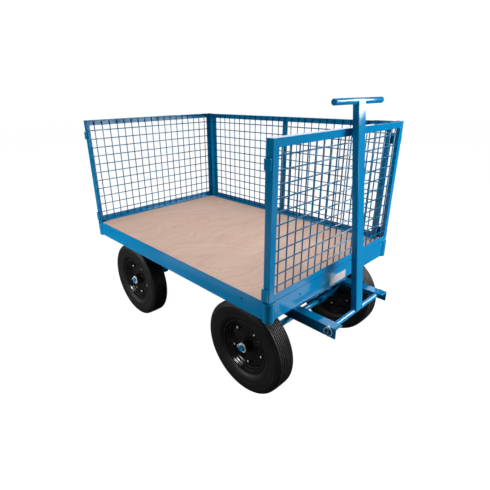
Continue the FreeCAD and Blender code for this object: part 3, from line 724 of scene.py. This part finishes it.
def saddle(points, radius, base, sign):
    """Ends each line of the section on a round bar of this radius at this height."""
    ring = []
    for deep, wide in points:
        reach = math.sqrt(max(radius ** 2 - deep ** 2, 0.0))
        ring.append(PIVOT + FORE * deep + Y_AXIS * wide + UP * (base + sign * reach * SADDLE_BITE))
    return ring


def grip_profile(half):
    """Half of a tube's skin, with a plug set back in its rounded mouth."""
    plug, bore = half - 0.9 * MM, GRIP_R - GRIP_WALL
    return [(0.3 * MM, plug), (bore, plug), (bore + 0.2 * MM, half - 0.2 * MM),
            (GRIP_R - 0.9 * MM, half), (GRIP_R - 0.25 * MM, half - 0.35 * MM), (GRIP_R, half - 1.1 * MM)]


outside = rounded_box(11.25 * MM, 23 * MM, 3.4 * MM)
inside = rounded_box(8.75 * MM, 20.5 * MM, 1.2 * MM)
foot, head = (CROSS_R, 0.0, 1), (GRIP_R, HANDLE, -1)
bm = bmesh.new()
skin(bm, [saddle(outside, *foot), saddle(outside, *head), saddle(inside, *head), saddle(inside, *foot)],
     closed=True)
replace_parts(piece_from(bm, "handle_box_section", "handle", "blue_paint", 35), "handle_post")

bm = bmesh.new()
grip_low, grip_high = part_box("grip_bar")
profile = with_reflection(grip_profile((grip_high.y - grip_low.y) / 2))
lathe(bm, profile, Vector((grip.x, 0, grip.z)), 48, closed=False)
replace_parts(piece_from(bm, "grip_tube", "handle", "blue_paint", 50), "grip_bar")


# ---------------------------------------------------------------- linch pin

# The pin's radius at each height about its middle, in millimetres.
PIN_STEPS = [(1.2, -15.4), (2.0, -14.2), (2.0, 9.0), (3.6, 9.6), (4.3, 11.5), (4.3, 14.2), (3.4, 15.4)]
HOOP_R, HOOP_WIRE = 16.0 * MM, 1.25 * MM
HOOP_DROOP, HOOP_SWAY = 8.0 * MM, 1.6 * MM
TETHER_WIRE = 0.7 * MM
# Points of the retaining wire: millimetres aside, and the share of the way up to the arm.
TETHER = ((-2.0, 0.0), (-2.6, 0.25), (-2.2, 0.5), (-3.4, 0.75), (-3.0, 0.97))

pin_low, pin_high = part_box("linch_pin")
spot = (pin_low + pin_high) / 2
bm = bmesh.new()
skin(bm, [circle(Vector((spot.x, spot.y, spot.z + h * MM)), X_AXIS, Y_AXIS, r * MM, 16)
          for r, h in PIN_STEPS], capped=True)
hoop = [Vector((spot.x + HOOP_R * math.sin(t), spot.y + HOOP_SWAY * math.cos(t),
                spot.z - HOOP_DROOP + HOOP_R * math.cos(t)))
        for t in (math.radians(a) for a in range(12, 349, 8))]
sweep(bm, hoop, HOOP_WIRE, 10)
arm_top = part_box("right_drawbar_arm")[1].z
tether = [Vector((spot.x + a * MM, spot.y, spot.z + b * (arm_top - spot.z))) for a, b in TETHER]
sweep(bm, tether, TETHER_WIRE, 8)
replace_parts(piece_from(bm, "linch_pin_sprung", "bogie", "zinc_steel"), "linch_pin")


# ---------------------------------------------------------------- welded mesh

WIRE_R, WIRE_CHAMFER = 2.4 * MM, 0.4 * MM
PITCH = 40.64 * MM
END_COLUMNS, SIDE_COLUMNS, ROWS = 18, 25, 11
NUGGET_HALF, NUGGET_R, NUGGET_FALL = 1.5, 2.75, 0.55      # millimetres
NUGGET_LOOPS = 5


def centred(count):
    return [(k - (count - 1) / 2) * PITCH for k in range(count)]


def mesh_panel(node, body, along, columns, inward, uprights_outside=True):
    """Both layers of wire in one panel, pressed together, with a nugget of weld at each crossing."""
    low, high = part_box(node)
    mid = (low + high) / 2
    deep = abs((high - low).dot(inward))
    outer = mid - inward * (deep / 2 - WIRE_R)
    inner = mid + inward * (deep / 2 - WIRE_R)
    if not uprights_outside:
        outer, inner = inner, outer
    half_wide = abs((high - low).dot(along)) / 2
    half_tall = (high.z - low.z) / 2
    bm = bmesh.new()
    for a in centred(columns):
        foot = outer + along * a
        bar(bm, foot - Z_AXIS * half_tall, foot + Z_AXIS * half_tall, WIRE_R, 12, WIRE_CHAMFER)
    for level in centred(ROWS):
        centre = inner + Z_AXIS * level
        bar(bm, centre - along * half_wide, centre + along * half_wide, WIRE_R, 12, WIRE_CHAMFER)
    for a in centred(columns):
        for level in centred(ROWS):
            crossing = (outer + inner) / 2 + along * a + Z_AXIS * level
            loops = []
            for k in range(NUGGET_LOOPS):
                t = -1 + 2 * k / (NUGGET_LOOPS - 1)
                loops.append(circle(crossing + inward * (t * NUGGET_HALF * MM), along, Z_AXIS,
                                    (NUGGET_R - NUGGET_FALL * t * t) * MM, 8))
            skin(bm, loops, capped=True)
    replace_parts(piece_from(bm, node + "_wires", body, "mesh_paint", 60), node)


mesh_panel("front_panel_mesh", "front_panel", Y_AXIS, END_COLUMNS, -X_AXIS, uprights_outside=False)
mesh_panel("rear_panel_mesh", "rear_panel", Y_AXIS, END_COLUMNS, X_AXIS)
mesh_panel("side_panel_mesh", "side_panel", X_AXIS, SIDE_COLUMNS, -Y_AXIS)


# ---------------------------------------------------------------- welds

MITRE_BEAD, SOCKET_BEAD, HANDLE_BEAD = 1.15 * MM, 2.0 * MM, 1.7 * MM
MITRE_SUNK = 0.55 * MM                              # the bead's middle below the frame's outer face
MITRE_FROM, MITRE_TO = 1.5 * MM, 23.5 * MM          # in from the panel's corner
SOCKET_BEAD_END = 4 * MM                            # short of the channel's top and bottom
SOCKET_SEAM_IN, SOCKET_SEAM_OUT = SOCKET_R * 0.94, SOCKET_R * 0.42
HANDLE_BEAD_HALF, HANDLE_BEAD_OUT = 19 * MM, 8.6 * MM
HANDLE_BEAD_RISE = 0.55                             # in radii of the bar that it runs along


def panel_welds(panel, outward, along, seed):
    """A bead on each mitre of one panel's frame, on its outer face."""
    low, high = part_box(panel + "_frame")
    mid = (low + high) / 2
    plane = mid + outward * (abs((high - low).dot(outward)) / 2 - MITRE_SUNK)
    half_wide, half_tall = abs((high - low).dot(along)) / 2, (high.z - low.z) / 2
    bm = bmesh.new()
    for index, (a, b) in enumerate(((1, 1), (1, -1), (-1, 1), (-1, -1))):
        heel, toe = (plane + along * (a * (half_wide - inset)) + Z_AXIS * (b * (half_tall - inset))
                     for inset in (MITRE_FROM, MITRE_TO))
        weld_bead(bm, heel, toe, MITRE_BEAD, seed + index)
    piece_from(bm, panel + "_mitre_welds", panel, "blue_paint", 60)


panel_welds("front_panel", X_AXIS, Y_AXIS, 11)
panel_welds("rear_panel", -X_AXIS, Y_AXIS, 21)
panel_welds("side_panel", Y_AXIS, X_AXIS, 31)

bm = bmesh.new()
low_end = Z_AXIS * (channel_low.z + SOCKET_BEAD_END)
high_end = Z_AXIS * (channel_high.z - SOCKET_BEAD_END)
for index, centre in enumerate(SOCKETS):
    inward_x, inward_y = math.copysign(1, board_mid_x - centre.x), math.copysign(1, -centre.y)
    seams = (Vector((centre.x - inward_x * SOCKET_SEAM_OUT, centre.y + inward_y * SOCKET_SEAM_IN, 0)),
             Vector((centre.x + inward_x * SOCKET_SEAM_IN, centre.y - inward_y * SOCKET_SEAM_OUT, 0)))
    for turn, foot in enumerate(seams):
        weld_bead(bm, foot + low_end, foot + high_end, SOCKET_BEAD, 41 + 2 * index + turn)
piece_from(bm, "socket_welds", "chassis", "blue_paint", 60)

bm = bmesh.new()
for index, (a, base, sign) in enumerate(((1, 0.0, 1), (-1, 0.0, 1), (1, HANDLE, -1), (-1, HANDLE, -1))):
    radius = CROSS_R if sign > 0 else GRIP_R
    foot = PIVOT + FORE * (a * HANDLE_BEAD_OUT) + UP * (base + sign * radius * HANDLE_BEAD_RISE)
    half_bead = Y_AXIS * HANDLE_BEAD_HALF
    weld_bead(bm, foot - half_bead, foot + half_bead, HANDLE_BEAD, 61 + index)
piece_from(bm, "handle_welds", "handle", "blue_paint", 60)


# ---------------------------------------------------------------- floor, light and camera

FLOOR_REACH, FLOOR_DROP = 16.0, 0.6 * MM
PICTURE, SENSOR = 490, 36.0             # width of the picture in pixels, and of the sensor in millimetres
FOCAL, PICTURE_SHIFT = 373.4, (14.4, 2.2)                   # in the picture's pixels
CAMERA_ANGLES = (46.96, 22.47, 0.86)                        # turn, rise and roll in degrees
CAMERA_PLACE = (1.251, -1.168, 0.616)                       # metres from the middle of the board's top


def backdrop(name, seen, felt, glow_share):
    """Matt paper, paler to look at than in the light that it throws back on the truck."""
    material = bpy.data.materials.new(name)
    material.use_nodes = True
    tree = material.node_tree
    tree.nodes.clear()
    ray = tree.nodes.new("ShaderNodeLightPath").outputs["Is Camera Ray"]
    tone = tree.nodes.new("ShaderNodeMapRange")
    tone.inputs["To Min"].default_value = felt
    tone.inputs["To Max"].default_value = seen
    share = tree.nodes.new("ShaderNodeMath")
    share.operation = "MULTIPLY"
    share.inputs[1].default_value = glow_share
    matt = tree.nodes.new("ShaderNodeBsdfDiffuse")
    glow = tree.nodes.new("ShaderNodeEmission")
    glow.inputs["Color"].default_value = (1.0, 1.0, 1.0, 1)
    glow.inputs["Strength"].default_value = 1.15
    blend = tree.nodes.new("ShaderNodeMixShader")
    out = tree.nodes.new("ShaderNodeOutputMaterial")
    for source, target in ((ray, tone.inputs["Value"]), (tone.outputs[0], matt.inputs["Color"]),
                           (ray, share.inputs[0]), (share.outputs[0], blend.inputs[0]),
                           (matt.outputs[0], blend.inputs[1]), (glow.outputs[0], blend.inputs[2]),
                           (blend.outputs[0], out.inputs["Surface"])):
        tree.links.new(source, target)
    return material


def floor():
    mesh = bpy.data.meshes.new("studio_floor")
    reach = FLOOR_REACH
    mesh.from_pydata([(-reach, -reach, 0), (reach, -reach, 0), (reach, reach, 0), (-reach, reach, 0)], [],
                     [(0, 1, 2, 3)])
    plane = bpy.data.objects.new("studio_floor", mesh)
    bpy.context.scene.collection.objects.link(plane)
    plane.location.z = -FLOOR_DROP
    mesh.materials.append(backdrop("studio_floor", seen=0.80, felt=0.05, glow_share=0.86))


def surroundings(seen, cast):
    """A pale room to look at that gives only a little light."""
    world = bpy.data.worlds.new("studio")
    world.use_nodes = True
    tree = world.node_tree
    background = tree.nodes["Background"]
    background.inputs["Color"].default_value = (0.97, 0.985, 1.0, 1)
    ray = tree.nodes.new("ShaderNodeLightPath")
    level = tree.nodes.new("ShaderNodeMapRange")
    level.inputs["To Min"].default_value = cast
    level.inputs["To Max"].default_value = seen
    tree.links.new(ray.outputs["Is Camera Ray"], level.inputs["Value"])
    tree.links.new(level.outputs[0], background.inputs["Strength"])
    bpy.context.scene.world = world


def area_light(name, place, aim, width, height, watts, part="both"):
    """A softbox or a card. Its part is both, lit for diffuse light alone or mirrored for gloss alone."""
    data = bpy.data.lights.new(name, "AREA")
    data.shape = "RECTANGLE"
    data.size, data.size_y = width, height
    data.energy = watts
    lamp = bpy.data.objects.new(name, data)
    bpy.context.scene.collection.objects.link(lamp)
    lamp.location = place
    lamp.visible_camera = False
    lamp.visible_diffuse = part != "mirrored"
    lamp.visible_glossy = part != "lit"
    lamp.rotation_mode = "QUATERNION"
    lamp.rotation_quaternion = (Vector(aim) - Vector(place)).to_track_quat("-Z", "Y")


def camera():
    """At the photograph's angle, its place taken from the middle of the board's top."""
    turn, rise, roll = (math.radians(a) for a in CAMERA_ANGLES)
    back = Vector((math.sin(turn) * math.cos(rise), -math.cos(turn) * math.cos(rise), math.sin(rise)))
    forward = -back
    right = forward.cross(Z_AXIS).normalized()
    down = forward.cross(right)
    right, down = (right * math.cos(roll) + down * math.sin(roll),
                   down * math.cos(roll) - right * math.sin(roll))
    data = bpy.data.cameras.new("camera")
    data.sensor_width = SENSOR
    data.lens = FOCAL / PICTURE * SENSOR
    data.shift_x, data.shift_y = (shift / PICTURE for shift in PICTURE_SHIFT)
    data.clip_start, data.clip_end = 0.05, 100.0
    rig = bpy.data.objects.new("camera", data)
    bpy.context.scene.collection.objects.link(rig)
    rig.matrix_world = Matrix((
        (right.x, -down.x, back.x, board_mid_x + CAMERA_PLACE[0]),
        (right.y, -down.y, back.y, CAMERA_PLACE[1]),
        (right.z, -down.z, back.z, board_high.z + CAMERA_PLACE[2]),
        (0, 0, 0, 1)))
    bpy.context.scene.camera = rig


floor()
camera()
surroundings(seen=1.05, cast=0.05)
bpy.context.scene.view_settings.view_transform = "Standard"

# The name, place and aim of each light, then its width, height, watts and part.
area_light("overhead", (0.2, 0.1, 3.2), (0.0, 0.0, 0.4), 3.2, 2.6, 88)
area_light("right_box", (2.4, 1.65, 1.8), (0.0, 1.2, 1.2), 1.5, 1.3, 52, "lit")
area_light("right_fill", (1.6, 0.6, 0.55), (0.57, 0.0, 0.7), 0.8, 0.8, 19, "lit")
area_light("left_box", (-2.2, -2.6, 1.65), (-0.5, 0, 0.9), 1.4, 1.5, 16, "lit")
area_light("left_gleam", (-2.2, -2.6, 1.65), (-0.5, 0, 0.9), 0.7, 0.8, 45, "mirrored")
area_light("top_gleam", (1.0, -1.0, 3.2), (0.4, -0.3, 0.2), 1.1, 0.8, 70, "mirrored")
area_light("low_card", (-0.6, -1.25, 0.12), (-0.1, -0.4, 0.45), 1.3, 0.4, 17, "lit")
area_light("post_box", (2.05, 2.35, 1.86), (0.56, 0.0, 1.05), 1.8, 1.4, 105, "mirrored")
area_light("back_box", (-1.93, 2.52, 1.32), (0.5, 0.0, 1.0), 2.4, 0.5, 5, "mirrored")
area_light("rail_card", (8.0, 5.0, 0.45), (-0.66, 0.0, 0.9), 3.0, 1.0, 60, "mirrored")
area_light("near_card", (-0.48, -0.965, 0.01), (-0.48, -0.965, 1.0), 0.92, 0.07, 0.09, "mirrored")
area_light("front_card", (0.98, 0.36, 0.01), (0.98, 0.36, 1.0), 0.25, 0.40, 0.3, "mirrored")
